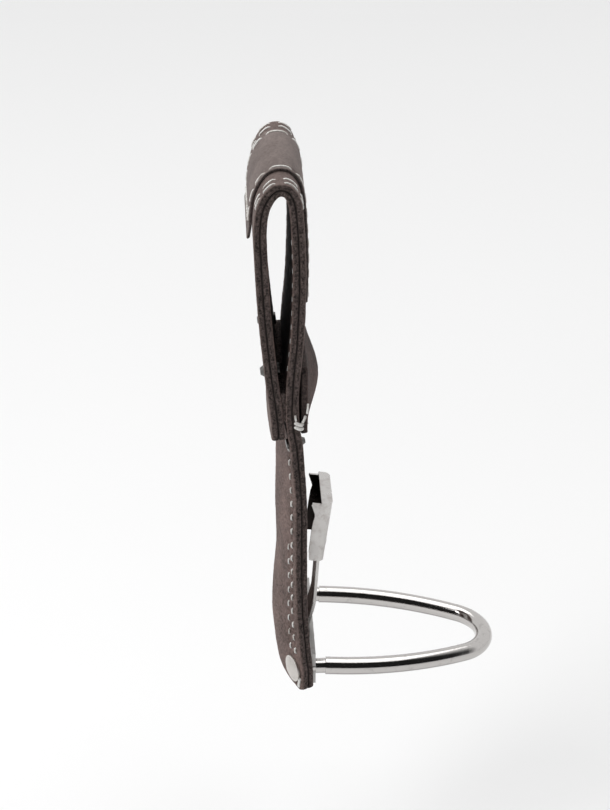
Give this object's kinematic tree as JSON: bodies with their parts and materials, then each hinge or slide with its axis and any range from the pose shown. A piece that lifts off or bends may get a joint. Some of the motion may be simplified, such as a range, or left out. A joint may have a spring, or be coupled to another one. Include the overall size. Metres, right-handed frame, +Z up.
{
  "type": "leather hammer holder",
  "caption": "Belt-worn hammer holder: folded leather strap with a belt loop, a steel ring in front for the handle and a small spring clip above it",
  "frame": {"origin": "Middle of the belt slot, inside the leather loop, where the belt carries the holder", "axes": "+Z up as worn, +Y toward the wearer, -Y to the front where the ring sticks out, X along the belt"},
  "size_m": [0.0778, 0.1132, 0.2482],
  "materials": {
    "leather_outer": "rough oiled leather, dark grey-brown",
    "leather_lining": "suede side, taupe",
    "leather_smooth": "smooth top-grain leather, grey",
    "leather_suede": "napped leather, wet formed",
    "thread_white": "waxed nylon thread, white",
    "ring_nickel": "polished nickel plate",
    "head_steel": "worn nickel plate",
    "plate_steel": "satin",
    "clip_steel": "satin nickel plate",
    "rivet_dark": "dark plated steel"
  },
  "bodies": {
    "holder": {"strap_outer": "leather_outer", "strap_lining": "leather_lining", "loop_wedge": "leather_outer", "saddle": "leather_smooth", "bumper_cover": "leather_suede", "bumper_core": "leather_suede", "ring": "ring_nickel", "ring_heads": "head_steel", "base_plate": "plate_steel", "plate_rivets": "rivet_dark", "clip_foot": "clip_steel", "loop_rivets": "rivet_dark", "front_rivets": "rivet_dark", "edge_thread": "thread_white", "inner_thread": "thread_white", "leg_thread": "thread_white", "rim_thread": "thread_white", "saddle_thread": "thread_white", "bumper_thread": "thread_white"},
    "clip": {"clip_tongue": "clip_steel", "clip_shell": "clip_steel", "clip_rivets": "rivet_dark"}
  },
  "joints": [
    {"name": "clip_flex", "type": "hinge", "parent": "holder", "child": "clip", "pos_m": [0, -0.0122, -0.1856], "axis": [1, 0, 0], "range_deg": [-3, 6], "stiffness_Nm_per_rad": 6}
  ]
}
